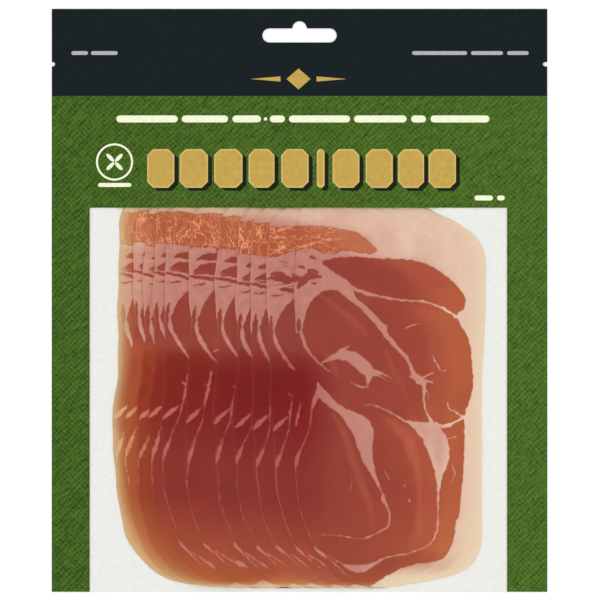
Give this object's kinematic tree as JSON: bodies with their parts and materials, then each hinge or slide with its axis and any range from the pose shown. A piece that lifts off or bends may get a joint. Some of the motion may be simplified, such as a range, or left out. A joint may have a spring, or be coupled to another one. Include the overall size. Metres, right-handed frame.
{
  "type": "pack of prosciutto",
  "caption": "Flat hang-sell pouch of sliced dry-cured ham: printed front film with a clear window, slot and tear notches in the header, shingled slices inside.",
  "frame": {"origin": "on the floor under the middle of the pouch, which lies on its back", "axes": "+X to the right edge as seen from the front, +Y to the header with the hanging slot, +Z out of the printed front"},
  "size_m": [0.213, 0.2506, 0.0082],
  "materials": {
    "back_film": "satin white film",
    "printed_film": "matte printed film, green field under a dark header",
    "clear_film": "clear glossy film",
    "ham": "moist dry-cured ham, red muscle with pale fat and marbling"
  },
  "bodies": {
    "root": {"back_film": "back_film", "front_film": "printed_film", "window": "clear_film", "slice_01": "ham", "slice_02": "ham", "slice_03": "ham", "slice_04": "ham", "slice_05": "ham", "slice_06": "ham", "slice_07": "ham", "slice_08": "ham", "slice_09": "ham", "slice_10": "ham", "slice_11": "ham"}
  },
  "joints": []
}
